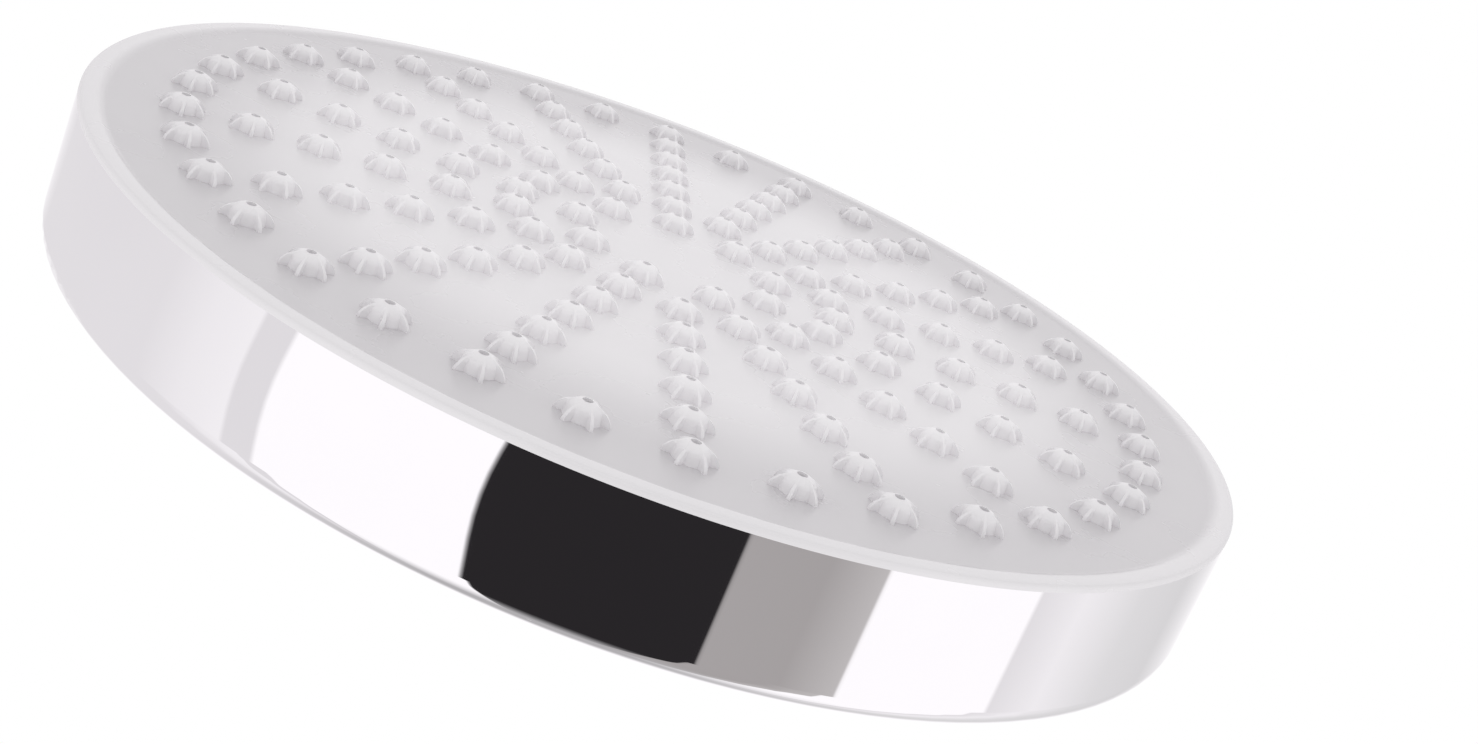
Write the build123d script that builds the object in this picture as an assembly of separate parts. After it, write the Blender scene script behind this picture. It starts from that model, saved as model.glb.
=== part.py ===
from build123d import *

import os
from math import asin, atan2, cos, degrees, radians, sin, sqrt

# Round rain shower head with lights inside, hung on a ball joint. Millimetres.
# Origin: centre of the inlet mouth. +Z runs up out of the inlet and the spray face looks down.

# Ball connector
NUT_DIAMETER = 24.0
NUT_HEIGHT = 12.5
NUT_CHAMFER = 0.5
NECK_DIAMETER = 18.8
NECK_HEIGHT = 2.5
NECK_GROOVE = 0.7
BALL_DIAMETER = 26.4
BALL_BORE = 7.3
THREAD_DIAMETER = 20.955
THREAD_DEPTH = 9.0
WASHER_DIAMETER = 18.4
WASHER_THICKNESS = 2.4
REGULATOR_DIAMETER = 11.0
REGULATOR_HEIGHT = 4.0
FLAT_DEPTH = 1.1
FLAT_HEIGHT = 2.2

# Ball socket
PLAY = 0.15
SEAT_THICKNESS = 1.85
SEAT_BORE = 12.5
SEAT_DIAMETER = 18.9
SEAL_HEIGHT = 2.4
SEAL_DROP = 0.4
SEAL_INSET = 1.2
BOSS_WALL = 1.85
BOSS_HEIGHT = 12.0
COLLAR_WALL = 3.2
COLLAR_LIP = 5.0
COLLAR_FLUTES = 16
THREAD_PLAY = 0.1
PASSAGE_DIAMETER = 14.0
MOUTH_PLAY = 0.6

# Head shell
HEAD_DIAMETER = 200.0
RIM_HEIGHT = 23.2
RIM_WALL = 3.1
EDGE_ROUND = 3.4
BACK_RISE = 6.0
BACK_FLAT_DIAMETER = 52.0
BACK_WALL = 2.6
STOP_RIBS = 12
RIB_THICKNESS = 2.0
POST_COUNT = 6
POST_DIAMETER = 6.4

# Spray face, whose lip covers the shell's open edge
LIP_WIDTH = 2.4
LIP_THICKNESS = 1.0
LIP_EDGE = 0.6
LIP_SLOPE = 1.6
FACE_RECESS = 0.6
FACE_THICKNESS = 2.6
FACE_GAP = 0.2
FACE_WALL = 2.7
FACE_WALL_HEIGHT = 3.0
NOZZLE_HEIGHT = 2.5
NOZZLE_SPAN = 8.0
NOZZLE_CORE = 4.4
NOZZLE_TIP = 3.0
NOZZLE_FINS = 6
SHOULDER_SPAN = 6.4
SHOULDER_HEIGHT = 1.4
JET_DIAMETER = 1.1
SPOKES = 18
NOZZLE_RINGS = 7
NOZZLE_MARGIN = 12.4
CENTRE_CIRCLE = 36.0

# Water chamber, window and light board
GASKET_HEIGHT = 1.0
WINDOW_THICKNESS = 2.2
WINDOW_RIM_HEIGHT = 5.2
BOARD_THICKNESS = 1.6
BOARD_GAP = 3.0
BOARD_MARGIN = 8.9
BOARD_STANDOFF = 3.0
LIGHT_SIZE = 5.0
LIGHT_HEIGHT = 1.6
LIGHT_INSET = 15.0
INNER_LIGHTS = 8
OUTER_LIGHTS = 16
SCREW_HEAD = 4.6
SCREW_LENGTH = 7.0

# Turbine generator
CASE_DIAMETER = 32.0
CASE_WALL = 2.0
CAP_HEIGHT = 4.0
BLADES = 8
ROTOR_GAP = 1.2
MAGNET_THICKNESS = 2.2
SHAFT_DIAMETER = 2.0
BUSH_DIAMETER = 5.2
STATOR_WIDTH = 7.0
STATOR_HEIGHT = 9.0

# Levels that follow from the sizes above
BALL_R = BALL_DIAMETER / 2
BALL_Z = -NUT_HEIGHT - NECK_HEIGHT - sqrt(BALL_R**2 - (NECK_DIAMETER / 2) ** 2)
SLIDE_R = BALL_R + PLAY
POCKET_R = SLIDE_R + SEAT_THICKNESS + PLAY
BOSS_R = POCKET_R + BOSS_WALL
COLLAR_FLOOR_Z = BALL_Z - SEAL_DROP
BOSS_TOP_Z = COLLAR_FLOOR_Z - SEAL_HEIGHT
BACK_TOP_Z = BOSS_TOP_Z - BOSS_HEIGHT
RIM_BACK_Z = BACK_TOP_Z - BACK_RISE
LIP_Z = RIM_BACK_Z - RIM_HEIGHT
RIM_Z = LIP_Z + LIP_THICKNESS
INNER_TOP_Z = BACK_TOP_Z - BACK_WALL
HEAD_R = HEAD_DIAMETER / 2
INNER_R = HEAD_R - RIM_WALL
FACE_Z = LIP_Z + FACE_RECESS
FACE_BACK_Z = FACE_Z + FACE_THICKNESS
FACE_TOP_Z = FACE_BACK_Z + FACE_WALL_HEIGHT
FACE_R = INNER_R - FACE_GAP
WINDOW_Z = FACE_TOP_Z + GASKET_HEIGHT
WINDOW_TOP_Z = WINDOW_Z + WINDOW_THICKNESS
WINDOW_RIM_Z = WINDOW_Z + WINDOW_RIM_HEIGHT
BOARD_Z = WINDOW_TOP_Z + BOARD_STANDOFF
BOARD_TOP_Z = BOARD_Z + BOARD_THICKNESS
CASE_R = CASE_DIAMETER / 2
CASE_BORE_R = CASE_R - CASE_WALL
ROTOR_R = CASE_BORE_R - ROTOR_GAP
STATOR_R = CASE_R + STATOR_WIDTH
BOARD_BORE_R = STATOR_R + BOARD_GAP
BOARD_R = INNER_R - BOARD_MARGIN
POST_R = (BOARD_BORE_R + BOARD_R) / 2
CASE_Z = FACE_BACK_Z + 0.8
CAP_Z = INNER_TOP_Z - CAP_HEIGHT


class Via(tuple):
    """A point that an arc of an outline passes on the way to its next corner."""


def turned(*outline):
    """Solid turned about Z from (radius, z) corners, with an arc wherever a Via stands between two."""
    edges = []
    start = outline[0]
    bend = None
    for point in (*outline[1:], outline[0]):
        if isinstance(point, Via):
            bend = point
            continue
        ends = (start[0], 0, start[1]), (point[0], 0, point[1])
        if bend is None:
            edges.append(Line(*ends))
        else:
            edges.append(ThreePointArc(ends[0], (bend[0], 0, bend[1]), ends[1]))
        start = point
        bend = None
    return revolve(make_face(edges), Axis.Z)


def ring(inner, outer, low, high):
    """Plain ring between two radii and two levels."""
    return turned((inner, low), (outer, low), (outer, high), (inner, high))


def around(shape, count, first=0.0):
    """Copies of a shape set evenly about Z."""
    return [Rot(Z=first + 360 * k / count) * shape for k in range(count)]


def pillar(radius, low, high):
    """Upright cylinder between two levels."""
    return Pos(0, 0, low) * Cylinder(radius, high - low, align=(Align.CENTER, Align.CENTER, Align.MIN))


def on_ball(radius, angle):
    """Outline point on a sphere round the ball centre, at an angle down from the inlet axis."""
    return radius * sin(radians(angle)), BALL_Z + radius * cos(radians(angle))


def at_radius(radius, distance):
    """Outline point on the lower half of a sphere round the ball centre, at a distance from the axis."""
    return distance, BALL_Z - sqrt(radius**2 - distance**2)


def at_level(radius, level):
    """Outline point on a sphere round the ball centre, at a level."""
    return sqrt(radius**2 - (level - BALL_Z) ** 2), level


def between(radius, first, last):
    """Arc point of a sphere round the ball centre, halfway from one outline point to another."""
    angles = [degrees(atan2(r, z - BALL_Z)) for r, z in (first, last)]
    return Via(on_ball(radius, sum(angles) / 2))


def rounded(centre, radius, angle):
    """Arc point of an edge round, at an angle up from the outward direction."""
    return Via((centre[0] + radius * cos(radians(angle)), centre[1] + radius * sin(radians(angle))))


def cap_between(low, high):
    """Arc point of a sphere centred on the axis, halfway in radius between two outline points."""
    centre = (high[0] ** 2 + high[1] ** 2 - low[0] ** 2 - low[1] ** 2) / (2 * (high[1] - low[1]))
    reach = sqrt(low[0] ** 2 + (low[1] - centre) ** 2)
    radius = (low[0] + high[0]) / 2
    return Via((radius, centre + sqrt(reach**2 - radius**2)))


def ball_connector():
    nut_r = NUT_DIAMETER / 2
    neck_r = NECK_DIAMETER / 2
    groove_r = neck_r - NECK_GROOVE
    bead = NECK_HEIGHT / 3
    nut_end = -NUT_HEIGHT
    washer_floor = -THREAD_DEPTH - WASHER_THICKNESS - 0.1
    regulator_floor = washer_floor - REGULATOR_HEIGHT
    ball_start = groove_r, BALL_Z + sqrt(BALL_R**2 - groove_r**2)
    ball_end = at_radius(BALL_R, BALL_BORE / 2)
    body = turned(
        (THREAD_DIAMETER / 2, 0),
        (nut_r - NUT_CHAMFER, 0),
        (nut_r, -NUT_CHAMFER),
        (nut_r, nut_end + NUT_CHAMFER),
        (nut_r - NUT_CHAMFER, nut_end),
        (groove_r, nut_end),
        (groove_r, nut_end - bead),
        (neck_r, nut_end - bead),
        (neck_r, nut_end - 2 * bead),
        (groove_r, nut_end - 2 * bead),
        ball_start,
        Via((BALL_R, BALL_Z)),
        ball_end,
        (BALL_BORE / 2, regulator_floor),
        (REGULATOR_DIAMETER / 2 + 0.05, regulator_floor),
        (REGULATOR_DIAMETER / 2 + 0.05, washer_floor),
        (WASHER_DIAMETER / 2 + 0.1, washer_floor),
        (WASHER_DIAMETER / 2 + 0.1, -THREAD_DEPTH),
        (THREAD_DIAMETER / 2, -THREAD_DEPTH),
    )
    flat = Pos(nut_r, 0, nut_end) * Box(2 * FLAT_DEPTH, NUT_DIAMETER, 2 * FLAT_HEIGHT)
    return body - around(flat, 2)


def inlet_washer():
    low = -THREAD_DEPTH - WASHER_THICKNESS - 0.1
    outer = WASHER_DIAMETER / 2
    screen = 0.7 * outer
    return turned(
        (screen - 0.8, low),
        (outer, low),
        (outer, low + WASHER_THICKNESS),
        (screen, low + WASHER_THICKNESS),
        (screen, low + 0.6 * WASHER_THICKNESS),
        (screen - 0.8, low + 0.6 * WASHER_THICKNESS),
    )


def inlet_screen():
    low = -THREAD_DEPTH - 0.1 - 0.4 * WASHER_THICKNESS
    radius = 0.35 * WASHER_DIAMETER
    pitch = radius / 3.4
    disc = pillar(radius, low, low + 0.5)
    holes = []
    for row in range(-2, 3):
        for column in range(-2, 3):
            if abs(row) + abs(column) < 4:
                holes.append(Pos(row * pitch, column * pitch, low) * Box(0.6 * pitch, 0.6 * pitch, 2))
    return disc - holes


def flow_regulator():
    top = -THREAD_DEPTH - WASHER_THICKNESS - 0.1
    low = top - REGULATOR_HEIGHT
    outer = REGULATOR_DIAMETER / 2
    throat = 0.35 * outer
    return turned(
        (0.55 * outer, low),
        (outer, low),
        (outer, top),
        (0.8 * outer, top),
        (throat, top - 0.45 * REGULATOR_HEIGHT),
        (throat, top - 0.6 * REGULATOR_HEIGHT),
    )


def ball_seat():
    high = 180 - degrees(asin(SEAT_DIAMETER / 2 / SLIDE_R))
    low = 180 - degrees(asin(SEAT_BORE / 2 / SLIDE_R))
    middle = (high + low) / 2
    outer = SLIDE_R + SEAT_THICKNESS
    return turned(
        on_ball(SLIDE_R, high),
        Via(on_ball(SLIDE_R, middle)),
        on_ball(SLIDE_R, low),
        on_ball(outer, low),
        Via(on_ball(outer, middle)),
        on_ball(outer, high),
    )


def ball_seal():
    top = at_level(SLIDE_R, COLLAR_FLOOR_Z)
    low = at_level(SLIDE_R, BOSS_TOP_Z)
    outer = BOSS_R - SEAL_INSET
    return turned(low, (outer, BOSS_TOP_Z), (outer, COLLAR_FLOOR_Z), top, between(SLIDE_R, top, low))


def ball_collar():
    thread = BOSS_R + THREAD_PLAY
    outer = thread + COLLAR_WALL
    foot = BACK_TOP_Z + 0.6
    top = BALL_Z + COLLAR_LIP
    shoulder = BALL_Z - 3.0
    lip = at_level(SLIDE_R, top)
    floor = at_level(SLIDE_R, COLLAR_FLOOR_Z)
    crown = lip[0] + 2.2
    body = turned(
        lip,
        (crown, top),
        cap_between((outer, shoulder), (crown, top)),
        (outer, shoulder),
        (outer, foot),
        (thread, foot),
        (thread, COLLAR_FLOOR_Z),
        floor,
        between(SLIDE_R, lip, floor),
    )
    flute = Pos(outer + 1.4, 0, 0) * pillar(2.2, foot - 1, shoulder - 1)
    return body - around(flute, COLLAR_FLUTES)


def dome(drop):
    """Back surface from the rim's edge round to the flat round the boss, lowered by a wall."""
    low = HEAD_R - EDGE_ROUND, RIM_BACK_Z - drop
    high = BACK_FLAT_DIAMETER / 2, BACK_TOP_Z - drop
    return low, cap_between(low, high), high


def back_shell():
    edge_centre = HEAD_R - EDGE_ROUND, RIM_BACK_Z - EDGE_ROUND
    body = turned(
        (0, RIM_Z),
        (HEAD_R, RIM_Z),
        (HEAD_R, edge_centre[1]),
        rounded(edge_centre, EDGE_ROUND, 45),
        *dome(0),
        (BOSS_R, BACK_TOP_Z),
        (BOSS_R, BOSS_TOP_Z),
        (0, BOSS_TOP_Z),
    )
    edge, bend, foot = dome(BACK_WALL)
    cavity = turned(
        (0, RIM_Z - 1),
        (INNER_R, RIM_Z - 1),
        (INNER_R, edge[1]),
        edge,
        bend,
        foot,
        (0, INNER_TOP_Z),
    )
    mouth = at_radius(POCKET_R, SLIDE_R + MOUTH_PLAY)
    outlet = at_radius(POCKET_R, PASSAGE_DIAMETER / 2)
    socket = turned(
        (0, INNER_TOP_Z - 1),
        (PASSAGE_DIAMETER / 2, INNER_TOP_Z - 1),
        outlet,
        between(POCKET_R, outlet, mouth),
        mouth,
        (mouth[0], BOSS_TOP_Z + 1),
        (0, BOSS_TOP_Z + 1),
    )
    post = Pos(POST_R, 0, 0) * pillar(POST_DIAMETER / 2, BOARD_TOP_Z, BACK_TOP_Z)
    pilot = Pos(POST_R, 0, 0) * pillar(1.0, BOARD_TOP_Z - 1, BOARD_TOP_Z + SCREW_LENGTH - BOARD_THICKNESS)
    rib_height = edge[1] + 1 - WINDOW_RIM_Z
    rib = Pos(INNER_R, 0, WINDOW_RIM_Z + rib_height / 2) * Box(2 * FACE_WALL, RIB_THICKNESS, rib_height)
    inside = (around(post, POST_COUNT, 30), around(rib, STOP_RIBS, 10))
    shell = body - cavity - socket
    for stands in inside:
        shell += [stand & body for stand in stands]
    return shell - around(pilot, POST_COUNT, 30)


def nozzle():
    """Nub of thin fins round a core, bent in at a shoulder to a small tip, pointing down from the face."""
    corners = 2 * NOZZLE_FINS

    def corner(k, radius, height):
        angle = radians(360 * k / corners)
        return Vector(radius * cos(angle), radius * sin(angle), FACE_Z - height)

    def star(span, height):
        core = NOZZLE_CORE * span / NOZZLE_SPAN
        return [corner(k, (span if k % 2 else core) / 2, height) for k in range(corners)]

    foot = star(NOZZLE_SPAN, 0)
    shoulder = star(SHOULDER_SPAN, SHOULDER_HEIGHT)
    tip = [corner(k, NOZZLE_TIP / 2, NOZZLE_HEIGHT) for k in range(0, corners, 2)]
    outlines = [foot, tip]
    for k in range(corners):
        n = (k + 1) % corners
        outlines.append([foot[k], foot[n], shoulder[n], shoulder[k]])
    for k in range(NOZZLE_FINS):
        left, fin, right = 2 * k, 2 * k + 1, (2 * k + 2) % corners
        after = (k + 1) % NOZZLE_FINS
        outlines.append([shoulder[left], shoulder[fin], tip[k]])
        outlines.append([shoulder[fin], tip[after], tip[k]])
        outlines.append([shoulder[fin], shoulder[right], tip[after]])
    return Solid(Shell([Face(Wire.make_polygon(outline)) for outline in outlines]))


def nozzle_places():
    """Every nozzle's place: a full outer ring, spokes from every second one of it, a sparser centre ring."""
    outer = FACE_R - NOZZLE_MARGIN
    pitch = (outer - CENTRE_CIRCLE / 2) / (NOZZLE_RINGS - 1)
    counts = [2 * SPOKES] + [SPOKES] * (NOZZLE_RINGS - 2) + [SPOKES // 2]
    places = []
    for row, count in enumerate(counts):
        places += around(Pos(outer - row * pitch, 0, 0), count)
    return places


def spray_face():
    lip_inner = HEAD_R - LIP_WIDTH
    plate = turned(
        (0, FACE_Z),
        (lip_inner - LIP_SLOPE, FACE_Z),
        (lip_inner, LIP_Z),
        (HEAD_R - LIP_EDGE, LIP_Z),
        (HEAD_R, LIP_Z + LIP_EDGE),
        (HEAD_R, RIM_Z),
        (FACE_R, RIM_Z),
        (FACE_R, FACE_TOP_Z),
        (FACE_R - FACE_WALL, FACE_TOP_Z),
        (FACE_R - FACE_WALL, FACE_BACK_Z),
        (0, FACE_BACK_Z),
    )
    places = nozzle_places()
    nub = nozzle()
    jet_sketch = Pos(0, 0, FACE_Z - NOZZLE_HEIGHT - 1) * RegularPolygon(JET_DIAMETER / 2, NOZZLE_FINS)
    jet = extrude(jet_sketch, NOZZLE_HEIGHT + FACE_THICKNESS + 2)
    plate = plate + [place * nub for place in places]
    return plate - [place * jet for place in places]


def face_gasket():
    return ring(FACE_R - FACE_WALL + 0.3, FACE_R - 0.3, FACE_TOP_Z, WINDOW_Z)


def light_window():
    outer = INNER_R - 0.3
    wall = outer - FACE_WALL + 0.1
    groove = WINDOW_Z + 2.0, WINDOW_Z + 3.8
    bore = CASE_R + 0.15
    body = turned(
        (bore, WINDOW_Z),
        (outer, WINDOW_Z),
        (outer, groove[0]),
        (outer - 1.3, groove[0]),
        (outer - 1.3, groove[1]),
        (outer, groove[1]),
        (outer, WINDOW_RIM_Z),
        (wall, WINDOW_RIM_Z),
        (wall, WINDOW_TOP_Z),
        (bore, WINDOW_TOP_Z),
        (bore, WINDOW_TOP_Z - 0.5),
        (bore + 1.2, WINDOW_TOP_Z - 0.5),
        (bore + 1.2, WINDOW_Z + 0.5),
        (bore, WINDOW_Z + 0.5),
    )
    return body - Pos(BOARD_BORE_R + 4, 0, 0) * pillar(2.05, WINDOW_Z - 1, WINDOW_TOP_Z + 1)


def window_seal():
    return ring(INNER_R - 1.6, INNER_R, WINDOW_Z + 2.0, WINDOW_Z + 3.8)


def case_seal():
    return ring(CASE_R, CASE_R + 1.35, WINDOW_Z + 0.5, WINDOW_TOP_Z - 0.5)


def light_board():
    board = ring(BOARD_BORE_R, BOARD_R, BOARD_Z, BOARD_TOP_Z)
    hole = Pos(POST_R, 0, 0) * pillar(1.4, BOARD_Z - 1, BOARD_TOP_Z + 1)
    return board - around(hole, POST_COUNT, 30)


def lights():
    chip = Pos(0, 0, BOARD_Z - LIGHT_HEIGHT / 2) * Box(LIGHT_SIZE, LIGHT_SIZE, LIGHT_HEIGHT)
    inner = Pos(BOARD_BORE_R + LIGHT_INSET, 0, 0) * chip
    outer = Pos(BOARD_R - LIGHT_INSET, 0, 0) * chip
    chips = around(inner, INNER_LIGHTS, 180 / INNER_LIGHTS) + around(outer, OUTER_LIGHTS, 180 / OUTER_LIGHTS)
    return Compound(children=chips)


def drive_parts():
    """Rectifier, capacitor and controller on the back of the light board."""
    capacitor = Pos(BOARD_BORE_R + 10, 0, 0) * pillar(3.5, BOARD_TOP_Z, BOARD_TOP_Z + 6.5)
    controller = Rot(Z=40) * Pos(BOARD_BORE_R + 10, 0, BOARD_TOP_Z + 0.75) * Box(6, 8, 1.5)
    diode = Pos(BOARD_BORE_R + 8, 0, BOARD_TOP_Z + 1.1) * Box(2.6, 4.4, 2.2)
    diodes = [Rot(Z=-24 - 12 * k) * diode for k in range(4)]
    return Compound(children=[capacitor, controller, *diodes])


def heat_sensor():
    low = WINDOW_Z - 1.8
    return Pos(BOARD_BORE_R + 4, 0, 0) * turned(
        (0, low),
        (1.2, low),
        (2.0, low + 0.8),
        (2.0, WINDOW_TOP_Z),
        (3.4, WINDOW_TOP_Z),
        (3.4, WINDOW_TOP_Z + 1.0),
        (2.0, WINDOW_TOP_Z + 1.0),
        (2.0, BOARD_Z),
        (0, BOARD_Z),
    )


def board_screws():
    head = pillar(SCREW_HEAD / 2, BOARD_Z - 1.5, BOARD_Z)
    screw = head + pillar(0.95, BOARD_Z - 0.1, BOARD_Z + SCREW_LENGTH - 0.2)
    return Compound(children=around(Pos(POST_R, 0, 0) * screw, POST_COUNT, 30))


def turbine_case():
    floor = CASE_Z + 1.6
    body = turned(
        (0, CASE_Z),
        (CASE_R, CASE_Z),
        (CASE_R, INNER_TOP_Z),
        (CASE_BORE_R, INNER_TOP_Z),
        (CASE_BORE_R, floor),
        (BUSH_DIAMETER / 2 + 1.6, floor),
        (BUSH_DIAMETER / 2 + 1.6, floor + 2),
        (BUSH_DIAMETER / 2, floor + 2),
        (BUSH_DIAMETER / 2, CASE_Z + 0.8),
        (0, CASE_Z + 0.8),
    )
    slot_height = WINDOW_Z - 0.2 - floor
    slot = Pos(CASE_R, 0, floor + slot_height / 2) * Box(2 * CASE_WALL + 2, 10, slot_height)
    return body - around(slot, 6)


def turbine_cap():
    radius = CASE_BORE_R - 0.03
    bush_r = BUSH_DIAMETER / 2
    well = 0.68 * radius
    body = turned(
        (0, CAP_Z + 2.4),
        (bush_r, CAP_Z + 2.4),
        (bush_r, CAP_Z),
        (radius, CAP_Z),
        (radius, INNER_TOP_Z),
        (well, INNER_TOP_Z),
        (well, INNER_TOP_Z - 1.4),
        (0, INNER_TOP_Z - 1.4),
    )
    jet = Pos(0.49 * radius, 0, CAP_Z + 1.3) * Rot(X=35) * Cylinder(1.4, 12)
    return body - around(jet & pillar(radius, CAP_Z - 1, INNER_TOP_Z - 1.2), 5)


def bush(low, high):
    """Bearing sleeve for the rotor shaft."""
    return ring(SHAFT_DIAMETER / 2 + 0.06, BUSH_DIAMETER / 2 - 0.02, low, high)


def upper_bush():
    return bush(CAP_Z, CAP_Z + 2.4)


def lower_bush():
    return bush(CASE_Z + 0.8, CASE_Z + 3.6)


def rotor_shaft():
    return pillar(SHAFT_DIAMETER / 2, CASE_Z + 0.9, CAP_Z + 2.2)


def rotor_levels():
    """Bottom and top of the turbine wheel."""
    return CASE_Z + 4.6, CAP_Z - 1.5


def turbine_wheel():
    low, high = rotor_levels()
    outer = ROTOR_R - MAGNET_THICKNESS
    hub = 0.36 * outer
    plate = Box(outer - hub + 2, 1.2, 2 * (high - low))
    blade = Pos((hub + outer) / 2, 0, (low + high) / 2) * Rot(X=32) * plate
    disc = ring(hub - 0.5, outer, low, high)
    wheel = ring(SHAFT_DIAMETER / 2, hub, low, high)
    return wheel + [turn & disc for turn in around(blade, BLADES)]


def rotor_magnet():
    low, high = rotor_levels()
    return ring(ROTOR_R - MAGNET_THICKNESS, ROTOR_R, low + 1, high - 1)


def stator_core():
    inner = CASE_R + 0.1
    outer = STATOR_R
    top = WINDOW_TOP_Z + STATOR_HEIGHT
    plate = 1.4
    return turned(
        (inner, WINDOW_TOP_Z),
        (outer, WINDOW_TOP_Z),
        (outer, top),
        (inner, top),
        (inner, top - plate),
        (outer - plate, top - plate),
        (outer - plate, WINDOW_TOP_Z + plate),
        (inner, WINDOW_TOP_Z + plate),
    )


def stator_coil():
    plate = 1.4
    top = WINDOW_TOP_Z + STATOR_HEIGHT
    return ring(CASE_R + 0.6, STATOR_R - plate, WINDOW_TOP_Z + plate, top - plate)


PARTS = (
    ball_connector,
    inlet_washer,
    inlet_screen,
    flow_regulator,
    ball_seat,
    ball_seal,
    ball_collar,
    back_shell,
    spray_face,
    face_gasket,
    light_window,
    window_seal,
    case_seal,
    light_board,
    lights,
    drive_parts,
    heat_sensor,
    board_screws,
    turbine_case,
    turbine_cap,
    upper_bush,
    lower_bush,
    rotor_shaft,
    turbine_wheel,
    rotor_magnet,
    stator_core,
    stator_coil,
)

os.makedirs("parts", exist_ok=True)
for make in PARTS:
    export_step(make(), f"parts/{make.__name__}.step")
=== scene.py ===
"""Looks of a round rain shower head on a ball joint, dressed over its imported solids."""

import math

import bpy
import numpy as np
from mathutils import Matrix, Vector


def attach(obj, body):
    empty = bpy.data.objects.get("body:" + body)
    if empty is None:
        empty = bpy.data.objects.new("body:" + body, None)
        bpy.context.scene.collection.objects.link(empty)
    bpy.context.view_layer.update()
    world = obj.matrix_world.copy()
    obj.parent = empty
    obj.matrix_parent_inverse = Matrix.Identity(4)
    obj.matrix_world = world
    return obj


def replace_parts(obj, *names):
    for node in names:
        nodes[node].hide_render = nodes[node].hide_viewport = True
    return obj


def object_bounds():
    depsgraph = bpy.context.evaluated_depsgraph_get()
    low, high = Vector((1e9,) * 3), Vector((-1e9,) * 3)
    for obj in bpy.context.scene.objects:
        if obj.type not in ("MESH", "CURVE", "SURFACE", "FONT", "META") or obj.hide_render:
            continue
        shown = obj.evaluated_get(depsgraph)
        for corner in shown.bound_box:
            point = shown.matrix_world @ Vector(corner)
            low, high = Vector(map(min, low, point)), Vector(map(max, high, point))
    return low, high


MM = 0.001

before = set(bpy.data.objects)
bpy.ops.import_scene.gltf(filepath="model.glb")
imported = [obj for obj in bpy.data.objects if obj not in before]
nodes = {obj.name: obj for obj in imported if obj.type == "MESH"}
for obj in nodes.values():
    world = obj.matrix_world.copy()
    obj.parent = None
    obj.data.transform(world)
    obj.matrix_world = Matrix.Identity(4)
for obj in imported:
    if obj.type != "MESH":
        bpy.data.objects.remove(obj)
cad_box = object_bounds()

# Spray face, set out from the head's width and its lowest level in the frame
HEAD_R = cad_box[1][0]
TIP_Z = cad_box[0][2]
NOZZLE_HEIGHT = 2.5 * MM
FACE_RECESS = 0.6 * MM
FACE_INSET = 3.3 * MM
FACE_THICKNESS = 2.6 * MM
FACE_WALL = 2.7 * MM
FACE_WALL_HEIGHT = 3.0 * MM
LIP_WIDTH = 2.4 * MM
LIP_THICKNESS = 1.0 * MM
LIP_SLOPE = 1.8 * MM
LIP_EDGE = 0.6 * MM
FACE_Z = TIP_Z + NOZZLE_HEIGHT
FACE_R = HEAD_R - FACE_INSET
FACE_BACK_Z = FACE_Z + FACE_THICKNESS
FACE_TOP_Z = FACE_BACK_Z + FACE_WALL_HEIGHT
LIP_Z = FACE_Z - FACE_RECESS
LIP_INNER_R = HEAD_R - LIP_WIDTH
RIM_Z = LIP_Z + LIP_THICKNESS

# Nozzles: a full outer ring, and spokes that run in to a centre ring
NOZZLE_MARGIN = 12.4 * MM
OUTER_RING_R = FACE_R - NOZZLE_MARGIN
CENTRE_RING_R = 18.0 * MM
SPOKES = 18
RINGS = 7
NOZZLE_FINS = 6
FIN_SPACING = 360.0 / NOZZLE_FINS

# Inlet thread, half-inch pipe size
THREAD_R = 10.4775 * MM
THREAD_PITCH = 1.814 * MM
THREAD_TURNS = 4.2
THREAD_START_Z = -0.9 * MM
THREAD_RISE = 1.05 * MM
THREAD_SINK = 0.05 * MM

# Half-width of a thread tooth at its foot and at its flat top
TOOTH_FOOT = 0.82 * MM
TOOTH_TOP = 0.2 * MM

# Turns over which the thread's ends ease in, and the share of its rise that they start from
THREAD_EASE = 0.5
THREAD_LEAST = 0.02

# Steps round the face plate, and in one turn of the thread
FACE_STEPS = 360
THREAD_STEPS = 64

# Studio floor: its level and its half-width
FLOOR_Z = -1.2
FLOOR_HALF = 6.0

# Camera: metres from the face's centre, then degrees below the face, of roll, and about Z
CAMERA_REACH = 0.320
CAMERA_RISE = 15.85
CAMERA_ROLL = 21.81
CAMERA_TURN = -2.4

# Picture in pixels: its size, the focal length and the centre of the face
PICTURE_WIDTH = 1478.0
PICTURE_HEIGHT = 744.0
FOCAL_LENGTH = 1888.0
FACE_CENTRE_X = 676.3
FACE_CENTRE_Y = 254.9

# Width of the camera's sensor in millimetres
SENSOR_WIDTH = 36.0

# Sockets of a colour Mix node
MIX_SHARE = 0
MIX_FIRST = 6
MIX_SECOND = 7
MIX_RESULT = 2

# Noise of a finish: its detail, the span of it that drives the roughness, and the depth of a full bump
NOISE_DETAIL = 4.0
NOISE_LOW = 0.3
NOISE_HIGH = 0.7
BUMP_DEPTH = 0.1 * MM


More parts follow.
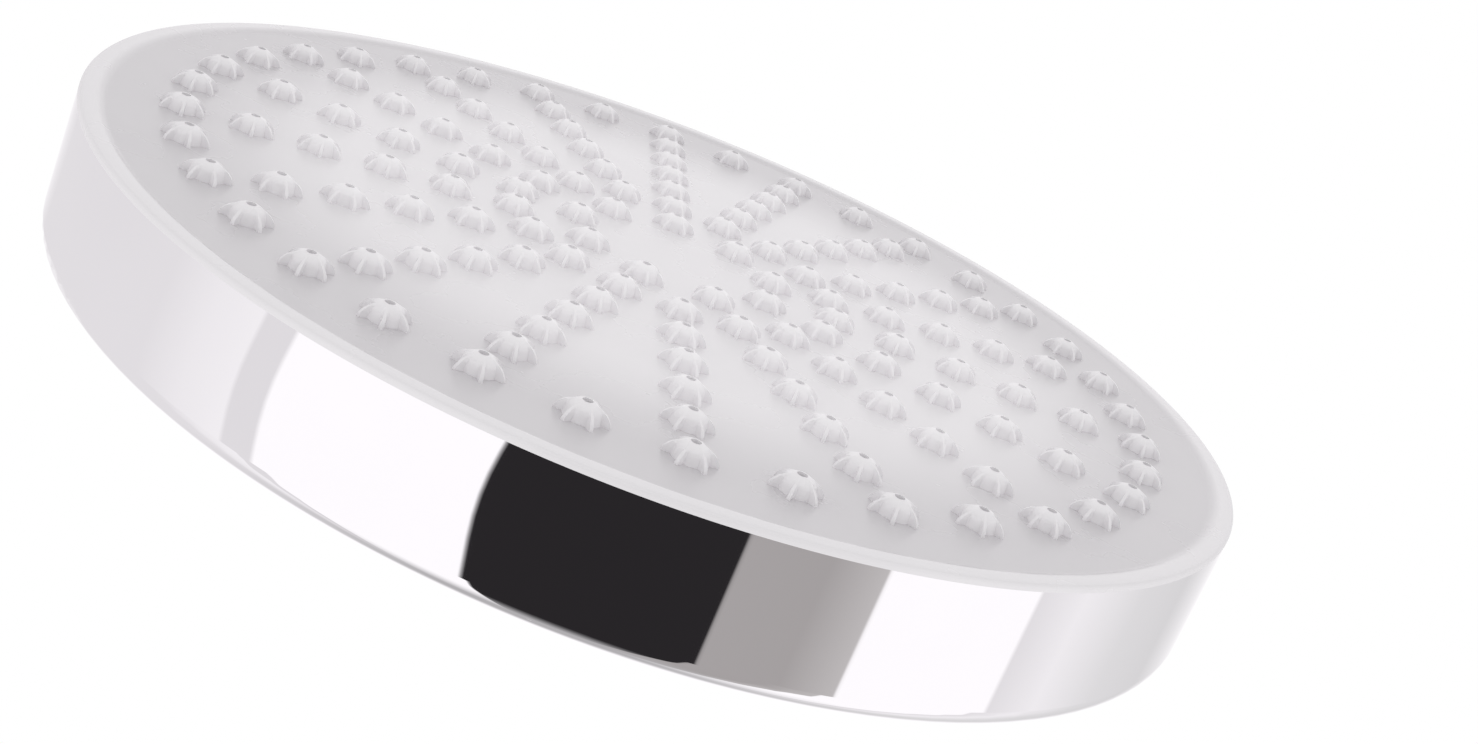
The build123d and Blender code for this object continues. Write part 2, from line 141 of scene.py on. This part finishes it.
def mesh_piece(name, points, faces, material, body, smooth_angle=35.0):
    """Object at the origin from an array of points and a list of face arrays, smooth up to an angle."""
    mesh = bpy.data.meshes.new(name)
    loops = np.concatenate([f.ravel() for f in faces])
    sizes = np.concatenate([np.full(len(f), f.shape[1]) for f in faces])
    starts = np.concatenate([[0], np.cumsum(sizes)[:-1]])
    mesh.vertices.add(len(points))
    mesh.vertices.foreach_set("co", np.asarray(points, np.float32).ravel())
    mesh.loops.add(len(loops))
    mesh.loops.foreach_set("vertex_index", loops.astype(np.int32))
    mesh.polygons.add(len(sizes))
    mesh.polygons.foreach_set("loop_start", starts.astype(np.int32))
    mesh.polygons.foreach_set("use_smooth", np.ones(len(sizes), bool))
    mesh.update(calc_edges=True)
    mesh.validate()
    mesh.set_sharp_from_angle(angle=math.radians(smooth_angle))
    mesh.materials.append(material)
    piece = bpy.data.objects.new(name, mesh)
    bpy.context.scene.collection.objects.link(piece)
    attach(piece, body)
    return piece


def grid_faces(rows, columns, closed_columns):
    """Quads of a grid of rows by columns, each wound from its column to the next, then to the next row."""
    steps = columns if closed_columns else columns - 1
    r, c = np.meshgrid(np.arange(rows - 1), np.arange(steps), indexing="ij")
    after = (c + 1) % columns
    quads = [r * columns + c, r * columns + after, (r + 1) * columns + after, (r + 1) * columns + c]
    return np.stack(quads, -1).reshape(-1, 4)


def shell_faces(rings, columns):
    """Faces of a closed shell whose points come as a pole, then rings of points, then a second pole."""
    c = np.arange(columns)
    after = (c + 1) % columns
    last = 1 + (rings - 1) * columns
    first_fan = np.stack([np.zeros_like(c), 1 + after, 1 + c], -1)
    last_fan = np.stack([last + c, last + after, np.full_like(c, last + columns)], -1)
    return np.concatenate([first_fan, last_fan]), grid_faces(rings, columns, True) + 1


def turned_points(profile, steps):
    """Profile of (radius, z) rows carried round the Z axis: x = r cos t, y = r sin t, z = z."""
    turn = np.linspace(0, 2 * np.pi, steps, endpoint=False)
    r, z = np.asarray(profile, float).T
    flat = r[:, None, None] * np.stack([np.cos(turn), np.sin(turn)], -1)[None]
    height = np.broadcast_to(z[:, None, None], (len(r), steps, 1))
    return np.concatenate([flat, height], -1)


def finish(name, tones, grain, roughness, bump=0.0, bump_grain=4000.0, **sockets):
    """Finish whose colour and roughness drift between two values over soft noise, with a fine bump."""
    material = bpy.data.materials.new(name)
    material.use_nodes = True
    tree = material.node_tree
    shader = tree.nodes["Principled BSDF"]
    place = tree.nodes.new("ShaderNodeTexCoord")
    cloud = tree.nodes.new("ShaderNodeTexNoise")
    cloud.inputs["Scale"].default_value = grain
    cloud.inputs["Detail"].default_value = NOISE_DETAIL
    tree.links.new(place.outputs["Object"], cloud.inputs["Vector"])
    tone = tree.nodes.new("ShaderNodeMix")
    tone.name = "tone"
    tone.data_type = "RGBA"
    tone.inputs[MIX_FIRST].default_value = (*tones[0], 1.0)
    tone.inputs[MIX_SECOND].default_value = (*tones[1], 1.0)
    tree.links.new(cloud.outputs["Fac"], tone.inputs[MIX_SHARE])
    tree.links.new(tone.outputs[MIX_RESULT], shader.inputs["Base Color"])
    spread = tree.nodes.new("ShaderNodeMapRange")
    spread.inputs["From Min"].default_value = NOISE_LOW
    spread.inputs["From Max"].default_value = NOISE_HIGH
    spread.inputs["To Min"].default_value = roughness[0]
    spread.inputs["To Max"].default_value = roughness[1]
    tree.links.new(cloud.outputs["Fac"], spread.inputs["Value"])
    tree.links.new(spread.outputs["Result"], shader.inputs["Roughness"])
    if bump:
        pores = tree.nodes.new("ShaderNodeTexNoise")
        pores.inputs["Scale"].default_value = bump_grain
        tree.links.new(place.outputs["Object"], pores.inputs["Vector"])
        relief = tree.nodes.new("ShaderNodeBump")
        relief.inputs["Strength"].default_value = bump
        relief.inputs["Distance"].default_value = BUMP_DEPTH
        tree.links.new(pores.outputs["Fac"], relief.inputs["Height"])
        tree.links.new(relief.outputs["Normal"], shader.inputs["Normal"])
    for socket, value in sockets.items():
        shader.inputs[socket.replace("_", " ")].default_value = value
    return material


# Share of the pale tone on the face, painted shade and painted glare: the greyer band inside the lip is
# painted recess shade and the pale middle is painted glare. Way in from the rim as a part of the radius,
# then the share
FACE_PAINTED_SHADE_AND_GLARE = ((0.0, 0.90), (0.022, 0.90), (0.045, 0.0), (0.12, 0.0), (0.45, 1.0))


def frosted_painted_light_finish():
    """Frosted plastic with painted light: a pale lip, a greyer band inside it that is painted recess shade,
    paler to the middle as painted glare, with nozzles painted paler to lift their shading.
    """
    material = finish(
        "frosted_face_painted_light",
        ((0.83, 0.81, 0.83), (0.86, 0.84, 0.86)),
        60.0,
        (0.22, 0.30),
        bump=0.03,
        bump_grain=2500.0,
    )
    tree = material.node_tree
    shader = tree.nodes["Principled BSDF"]
    place = tree.nodes.new("ShaderNodeTexCoord")
    flatten = tree.nodes.new("ShaderNodeMapping")
    flatten.inputs["Scale"].default_value = (1.0 / HEAD_R, 1.0 / HEAD_R, 0.0)
    tree.links.new(place.outputs["Object"], flatten.inputs["Vector"])
    from_rim = tree.nodes.new("ShaderNodeTexGradient")
    from_rim.gradient_type = "SPHERICAL"
    tree.links.new(flatten.outputs["Vector"], from_rim.inputs["Vector"])
    # Painted shade and glare by the way in from the rim: grey band inside the lip as painted recess shade,
    # pale middle as painted glare
    painted_shade_and_glare = tree.nodes.new("ShaderNodeValToRGB")
    painted_shade_and_glare.color_ramp.interpolation = "EASE"
    stops = painted_shade_and_glare.color_ramp.elements
    stops[1].position = FACE_PAINTED_SHADE_AND_GLARE[-1][0]
    for position, _ in FACE_PAINTED_SHADE_AND_GLARE[1:-1]:
        stops.new(position)
    for stop, (_, share) in zip(stops, FACE_PAINTED_SHADE_AND_GLARE):
        stop.color = (share, share, share, 1.0)
    tree.links.new(from_rim.outputs["Fac"], painted_shade_and_glare.inputs["Fac"])
    # Painted shade: this grey is the band inside the lip; the share turns it to the paler plate tone, the
    # painted glare of the middle
    plate_painted_light = tree.nodes.new("ShaderNodeMix")
    plate_painted_light.data_type = "RGBA"
    plate_painted_light.inputs[MIX_FIRST].default_value = (0.645, 0.625, 0.645, 1.0)
    tree.links.new(painted_shade_and_glare.outputs["Color"], plate_painted_light.inputs[MIX_SHARE])
    tree.links.new(tree.nodes["tone"].outputs[MIX_RESULT], plate_painted_light.inputs[MIX_SECOND])
    # Painted light on the nubs: paler than the plate to lift their shading, and paler still toward the
    # painted glare of the middle
    nub_painted_light = tree.nodes.new("ShaderNodeMix")
    nub_painted_light.data_type = "RGBA"
    nub_painted_light.inputs[MIX_FIRST].default_value = (0.87, 0.85, 0.87, 1.0)
    nub_painted_light.inputs[MIX_SECOND].default_value = (0.95, 0.93, 0.95, 1.0)
    tree.links.new(painted_shade_and_glare.outputs["Color"], nub_painted_light.inputs[MIX_SHARE])
    # The nubs' painted light is laid over the plate colour by the nub share from the mesh
    on_nub = tree.nodes.new("ShaderNodeAttribute")
    on_nub.attribute_name = "nozzle"
    painted_light_tone = tree.nodes.new("ShaderNodeMix")
    painted_light_tone.data_type = "RGBA"
    tree.links.new(on_nub.outputs["Fac"], painted_light_tone.inputs[MIX_SHARE])
    tree.links.new(plate_painted_light.outputs[MIX_RESULT], painted_light_tone.inputs[MIX_FIRST])
    tree.links.new(nub_painted_light.outputs[MIX_RESULT], painted_light_tone.inputs[MIX_SECOND])
    tree.links.new(painted_light_tone.outputs[MIX_RESULT], shader.inputs["Base Color"])
    return material


CHROME = finish(
    "chrome_plate", ((0.97, 0.962, 0.972), (0.93, 0.922, 0.935)), 40.0, (0.012, 0.03), Metallic=1.0
)
FROSTED_PAINTED_LIGHT = frosted_painted_light_finish()
RUBBER = finish("black_rubber", ((0.015, 0.015, 0.016), (0.03, 0.03, 0.032)), 300.0, (0.55, 0.75), bump=0.3)
CLEAR = finish(
    "clear_window", ((0.86, 0.89, 0.90), (0.92, 0.94, 0.95)), 80.0, (0.05, 0.12), Transmission_Weight=0.9
)
ACETAL = finish("white_acetal", ((0.74, 0.74, 0.72), (0.82, 0.82, 0.80)), 200.0, (0.35, 0.5), bump=0.15)
STEEL = finish("drawn_steel", ((0.52, 0.52, 0.53), (0.62, 0.62, 0.63)), 900.0, (0.22, 0.38), Metallic=1.0)
ZINC = finish("zinc_plate", ((0.60, 0.60, 0.60), (0.70, 0.69, 0.67)), 400.0, (0.28, 0.45), Metallic=1.0)
MASK = finish("white_board", ((0.72, 0.74, 0.72), (0.80, 0.81, 0.79)), 150.0, (0.3, 0.45), bump=0.1)
PHOSPHOR = finish("light_chip", ((0.85, 0.70, 0.25), (0.90, 0.82, 0.50)), 500.0, (0.2, 0.35))
PACKAGE = finish("black_package", ((0.02, 0.02, 0.022), (0.045, 0.045, 0.05)), 800.0, (0.4, 0.6), bump=0.3)
CASE = finish("dark_case", ((0.03, 0.032, 0.036), (0.05, 0.052, 0.058)), 250.0, (0.35, 0.55), bump=0.2)
WHEEL = finish("blue_acetal", ((0.03, 0.09, 0.32), (0.05, 0.14, 0.42)), 300.0, (0.3, 0.45), bump=0.15)
FERRITE = finish("ferrite", ((0.02, 0.02, 0.022), (0.05, 0.05, 0.052)), 1200.0, (0.5, 0.7), bump=0.4)
COPPER = finish(
    "enamelled_copper", ((0.55, 0.20, 0.07), (0.72, 0.32, 0.13)), 1500.0, (0.2, 0.4), Metallic=1.0
)
BRONZE = finish(
    "sintered_bronze", ((0.42, 0.27, 0.10), (0.55, 0.37, 0.16)), 2500.0, (0.4, 0.6), Metallic=1.0
)

NODE_FINISHES = {
    CHROME: ("ball_connector", "ball_collar", "back_shell"),
    FROSTED_PAINTED_LIGHT: ("spray_face",),
    RUBBER: ("inlet_washer", "ball_seal", "face_gasket", "window_seal", "case_seal"),
    CLEAR: ("light_window",),
    ACETAL: ("flow_regulator", "ball_seat", "turbine_cap"),
    STEEL: ("inlet_screen", "heat_sensor", "rotor_shaft"),
    ZINC: ("board_screws", "stator_core"),
    MASK: ("light_board",),
    PHOSPHOR: ("lights",),
    PACKAGE: ("drive_parts",),
    CASE: ("turbine_case",),
    WHEEL: ("turbine_wheel",),
    FERRITE: ("rotor_magnet",),
    COPPER: ("stator_coil",),
    BRONZE: ("upper_bush", "lower_bush"),
}
for material, names in NODE_FINISHES.items():
    for name in names:
        nodes[name].data.materials.clear()
        nodes[name].data.materials.append(material)


def nozzle_shell():
    """One nub as a closed shell: at each level a round core with thin fins that run out at its crown.

    The radius is the core's, plus the fin's reach beyond it wherever the angle lies on a fin. The shell
    starts at a pole inside the plate, rises over the crown and ends in the jet hole. The third array is the
    share of the paler tone at each point. This is painted light that lifts the nub's shading in place of
    light
    through the translucent plastic: a little less at the foot, and least in the hole.
    """
    # Ring by ring: height, radius of the core, radius at the fins, and share of the paler tone, which is
    # painted light that lifts the nub's shading
    height = np.array([-0.2, 0.08, 0.28, 0.48, 0.64, 0.76, 0.86, 0.96, 1.0, 0.32]) * NOZZLE_HEIGHT
    core = np.array([2.8, 2.7, 2.6, 2.5, 2.35, 2.1, 1.75, 1.25, 0.75, 0.5]) * MM
    fin = np.array([4.0, 3.95, 3.75, 3.35, 2.9, 2.4, 1.85, 1.25, 0.75, 0.5]) * MM
    painted_light_share = np.array([0.8, 1.0, 1.0, 1.0, 1.0, 1.0, 1.0, 1.0, 0.9, 0.3])
    # Degrees from a fin's middle: its foot, its two edges, its other foot, and half-way to the next fin
    fold = np.array([-9.0, -4.0, 4.0, 9.0, FIN_SPACING / 2])
    on_fin = np.tile([0.0, 1.0, 1.0, 0.0, 0.0], NOZZLE_FINS)
    angle = np.radians(((np.arange(NOZZLE_FINS)[:, None] + 0.5) * FIN_SPACING + fold).ravel())
    radius = core[:, None] + (fin - core)[:, None] * on_fin
    level = np.broadcast_to(FACE_Z - height[:, None], radius.shape)
    rings = np.stack([radius * np.cos(angle), radius * np.sin(angle), level], -1)
    poles = np.array([[0.0, 0.0, FACE_Z - height[0]], [0.0, 0.0, FACE_Z - height[-1]]])
    points = np.concatenate([poles[:1], rings.reshape(-1, 3), poles[1:]])
    shares = np.concatenate([painted_light_share[:1], np.repeat(painted_light_share, len(angle)), painted_light_share[-1:]])
    return points, shell_faces(len(height), len(angle)), shares


def nozzle_places():
    """Radius and turn of every nub: full outer ring, spokes from every second one, sparse centre ring."""
    ring = np.linspace(OUTER_RING_R, CENTRE_RING_R, RINGS)
    count = np.array([2 * SPOKES] + [SPOKES] * (RINGS - 2) + [SPOKES // 2])
    radius = np.repeat(ring, count)
    turn = np.concatenate([np.arange(n) * 2 * np.pi / n for n in count])
    return radius, turn


def face_outline():
    """Half-section of the face: flat, a cosine rise to the lip, the lip's quarter-round edge, the back."""
    rise = np.linspace(0, 1, 9)
    slope_r = LIP_INNER_R - LIP_SLOPE * (1 - rise)
    slope_z = LIP_Z + FACE_RECESS * (1 + np.cos(np.pi * rise)) / 2
    bend = np.radians(np.linspace(-90, 0, 6))
    edge_r = HEAD_R - LIP_EDGE + LIP_EDGE * np.cos(bend)
    edge_z = LIP_Z + LIP_EDGE + LIP_EDGE * np.sin(bend)
    front_r = HEAD_R * np.array([0.25, 0.5, 0.75])
    back = [
        (HEAD_R, RIM_Z),
        (FACE_R, RIM_Z),
        (FACE_R, FACE_TOP_Z),
        (FACE_R - FACE_WALL, FACE_TOP_Z),
        (FACE_R - FACE_WALL, FACE_BACK_Z),
        (HEAD_R * 0.5, FACE_BACK_Z),
    ]
    radius = np.concatenate([front_r, slope_r, edge_r])
    level = np.concatenate([np.full_like(front_r, FACE_Z), slope_z, edge_z])
    return np.concatenate([np.stack([radius, level], -1), back])


def spray_face():
    """Face plate turned from its outline, with the nub shell set at every place by a turn about Z."""
    outline = face_outline()
    plate = turned_points(outline, FACE_STEPS).reshape(-1, 3)
    plate = np.concatenate([[[0.0, 0.0, FACE_Z]], plate, [[0.0, 0.0, FACE_BACK_Z]]])
    plate_fans, plate_quads = shell_faces(len(outline), FACE_STEPS)
    nub, (fans, quads), painted_light_share = nozzle_shell()
    radius, turn = nozzle_places()
    c, s = np.cos(turn)[:, None], np.sin(turn)[:, None]
    x = nub[None, :, 0] + radius[:, None]
    y = np.broadcast_to(nub[None, :, 1], x.shape)
    z = np.broadcast_to(nub[None, :, 2], x.shape)
    nubs = np.stack([c * x - s * y, s * x + c * y, z], -1)
    first = (len(plate) + np.arange(len(radius)) * len(nub))[:, None, None]
    fans = (fans[None, :, ::-1] + first).reshape(-1, 3)
    quads = (quads[None, :, ::-1] + first).reshape(-1, 4)
    points = np.concatenate([plate, nubs.reshape(-1, 3)])
    faces = [plate_fans, plate_quads, fans, quads]
    moulding = mesh_piece("spray_face_moulding", points, faces, FROSTED_PAINTED_LIGHT, "head")
    # Share of the nubs' painted light at each point, none on the plate
    share = np.concatenate([np.zeros(len(plate)), np.tile(painted_light_share, len(radius))])
    attribute = moulding.data.attributes.new("nozzle", "FLOAT", "POINT")
    attribute.data.foreach_set("value", share.astype(np.float32))
    return moulding


def inlet_thread():
    """Ridge of the inlet thread: a flat-topped tooth carried down a helix, whose drop is pitch times turns.

    The tooth's height grows evenly with the turns at each end, and its root lies in the wall.
    """
    turns = np.linspace(0, THREAD_TURNS, int(THREAD_STEPS * THREAD_TURNS) + 1)
    ease = np.clip(np.minimum(turns, THREAD_TURNS - turns) / THREAD_EASE, THREAD_LEAST, 1.0)
    across = np.array([-TOOTH_FOOT, -TOOTH_TOP, TOOTH_TOP, TOOTH_FOOT])
    rise = np.array([0.0, 1.0, 1.0, 0.0]) * THREAD_RISE
    root = THREAD_R + THREAD_SINK
    angle = 2 * np.pi * turns[:, None]
    radius = root - rise[None] * ease[:, None]
    level = THREAD_START_Z - THREAD_PITCH * turns[:, None] + across[None]
    points = np.stack([radius * np.cos(angle), radius * np.sin(angle), level], -1)
    rows, columns = points.shape[:2]
    last = (rows - 1) * columns
    ends = np.array([[3, 2, 1, 0], [last, last + 1, last + 2, last + 3]])
    faces = [grid_faces(rows, columns, True), ends]
    return mesh_piece("inlet_thread_ridge", points.reshape(-1, 3), faces, CHROME, "connector")


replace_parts(spray_face(), "spray_face")
inlet_thread()


def studio_finish(name, colour):
    """Plain matt studio surface."""
    material = bpy.data.materials.new(name)
    material.use_nodes = True
    shader = material.node_tree.nodes["Principled BSDF"]
    shader.inputs["Base Color"].default_value = (*colour, 1.0)
    shader.inputs["Roughness"].default_value = 0.9
    shader.inputs["Specular IOR Level"].default_value = 0.0
    return material


def studio_piece(name, points, quads, material):
    """Stage object from points and quads."""
    mesh = bpy.data.meshes.new(name)
    mesh.from_pydata(np.asarray(points).reshape(-1, 3).tolist(), [], np.asarray(quads).tolist())
    mesh.materials.append(material)
    piece = bpy.data.objects.new(name, mesh)
    bpy.context.scene.collection.objects.link(piece)
    return piece


# Tone of the studio's wall round the head, as the chrome shows it: angle about Z, then red, green and blue
WALL_TONES = np.array(
    [
        (-270.0, 1.00, 0.98, 1.00),
        (-250.0, 1.00, 0.98, 1.00),
        (-222.0, 0.66, 0.65, 0.66),
        (-205.0, 0.71, 0.70, 0.71),
        (-188.0, 0.86, 0.84, 0.86),
        (-176.8, 0.75, 0.73, 0.75),
        (-176.2, 1.00, 0.98, 1.00),
        (-145.6, 1.00, 0.98, 1.00),
        (-145.0, 0.50, 0.48, 0.48),
        (-135.0, 0.37, 0.35, 0.35),
        (-120.6, 0.38, 0.36, 0.36),
        (-120.0, 0.021, 0.019, 0.021),
        (-80.2, 0.021, 0.019, 0.021),
        (-79.6, 1.00, 0.98, 1.00),
        (-39.8, 1.00, 0.98, 1.00),
        (-39.2, 0.73, 0.71, 0.73),
        (-32.8, 0.73, 0.71, 0.73),
        (-32.2, 0.88, 0.86, 0.88),
        (-22.0, 0.84, 0.82, 0.84),
        (-10.0, 0.75, 0.73, 0.75),
        (45.0, 0.74, 0.72, 0.74),
        (70.0, 1.00, 0.98, 1.00),
        (90.0, 1.00, 0.98, 1.00),
    ]
)
CEILING_TONE = (0.44, 0.43, 0.44)

# Strength of the wall's glow, and the step of its angle in degrees
WALL_GLOW = 1.05
WALL_STEP = 0.5

# Levels between which card edges bow, the most that they bow in degrees, and its share by angle about Z
BOW_LEVELS = (0.26, 0.45)
CARD_BOW = 2.6
BOW_SHARES = np.array([(-110.0, 0.0), (-90.0, 1.0), (45.0, 1.0), (90.0, 0.0)])

# Half-section of the wall and the ceiling over it: radius, level, and share of the ceiling's tone
WALL_SECTION = np.array(
    [
        (1.00, FLOOR_Z, 0.0),
        *((1.00, level, 0.0) for level in np.linspace(*BOW_LEVELS, 13)),
        (1.00, 0.85, 0.0),
        (0.92, 1.06, 0.0),
        (0.75, 1.20, 0.2),
        (0.50, 1.30, 0.6),
        (0.25, 1.35, 1.0),
        (0.01, 1.37, 1.0),
    ]
)


def studio_wall():
    """Round wall and ceiling of toned cards that only reflections see: a section turned about Z.

    The tone goes by the angle. From the dark card's left edge on, the angle gains a bow: half of one less
    the cosine of a full turn over the bow's levels.
    """
    degrees = np.arange(WALL_TONES[0, 0], WALL_TONES[-1, 0] + WALL_STEP, WALL_STEP)
    radius, level, share = WALL_SECTION.T[..., None]
    part = np.clip((level - BOW_LEVELS[0]) / (BOW_LEVELS[1] - BOW_LEVELS[0]), 0.0, 1.0)
    bow = CARD_BOW * (1.0 - np.cos(2.0 * np.pi * part)) / 2.0
    turn = np.radians(degrees + bow * np.interp(degrees, *BOW_SHARES.T))
    points = np.stack([radius * np.cos(turn), radius * np.sin(turn), level + 0 * turn], -1)
    material = bpy.data.materials.new("wall_cards")
    material.use_nodes = True
    tree = material.node_tree
    shader = tree.nodes["Principled BSDF"]
    shader.inputs["Base Color"].default_value = (0.0, 0.0, 0.0, 1.0)
    shader.inputs["Specular IOR Level"].default_value = 0.0
    shader.inputs["Emission Strength"].default_value = WALL_GLOW
    tone = tree.nodes.new("ShaderNodeAttribute")
    tone.attribute_name = "tone"
    tree.links.new(tone.outputs["Color"], shader.inputs["Emission Color"])
    wall = studio_piece("studio_wall", points, grid_faces(len(level), len(degrees), False), material)
    around = np.stack([np.interp(degrees, WALL_TONES[:, 0], WALL_TONES[:, k]) for k in (1, 2, 3)], -1)
    colour = around[None] + (np.array(CEILING_TONE) - around)[None] * share[..., None]
    colour = np.concatenate([colour, np.ones((*colour.shape[:2], 1))], -1)
    attribute = wall.data.color_attributes.new("tone", "FLOAT_COLOR", "POINT")
    attribute.data.foreach_set("color", colour.astype(np.float32).ravel())
    wall.visible_camera = False
    wall.visible_diffuse = False
    wall.visible_shadow = False


def studio():
    """Pale floor, and an even white surround that lights the head from all sides."""
    scene = bpy.context.scene
    corners = [(x * FLOOR_HALF, y * FLOOR_HALF, FLOOR_Z) for x, y in ((-1, -1), (1, -1), (1, 1), (-1, 1))]
    studio_piece("studio_floor", corners, [(0, 1, 2, 3)], studio_finish("floor_pale", (0.86, 0.86, 0.86)))
    world = bpy.data.worlds.new("studio_white")
    world.use_nodes = True
    world.node_tree.nodes["Background"].inputs["Color"].default_value = (1.0, 1.0, 1.0, 1.0)
    world.node_tree.nodes["Background"].inputs["Strength"].default_value = 1.0
    scene.world = world
    scene.view_settings.view_transform = "Standard"


def camera():
    """Camera at the photograph's angle: low over the face, rolled, and close to the head."""
    rise = math.radians(CAMERA_RISE)
    roll = math.radians(CAMERA_ROLL)
    spin = Matrix.Rotation(math.radians(CAMERA_TURN), 3, "Z")
    across = Vector((-1, 0, 0))
    over = Vector((0, math.sin(rise), -math.cos(rise)))
    right = math.cos(roll) * across + math.sin(roll) * over
    up = math.cos(roll) * over - math.sin(roll) * across
    back = Vector((0, -math.cos(rise), -math.sin(rise)))
    eye = Vector((0, 0, LIP_Z)) + spin @ (back * CAMERA_REACH)
    axes = Matrix((spin @ right, spin @ up, spin @ back)).transposed()
    lens = bpy.data.cameras.new("camera")
    lens.sensor_fit = "HORIZONTAL"
    lens.sensor_width = SENSOR_WIDTH
    lens.lens = SENSOR_WIDTH * FOCAL_LENGTH / PICTURE_WIDTH
    lens.shift_x = (PICTURE_WIDTH / 2 - FACE_CENTRE_X) / PICTURE_WIDTH
    lens.shift_y = (FACE_CENTRE_Y - PICTURE_HEIGHT / 2) / PICTURE_WIDTH
    lens.clip_start = 0.01
    view = bpy.data.objects.new("camera", lens)
    view.matrix_world = Matrix.Translation(eye) @ axes.to_4x4()
    bpy.context.scene.collection.objects.link(view)
    bpy.context.scene.camera = view


studio_wall()
studio()
camera()
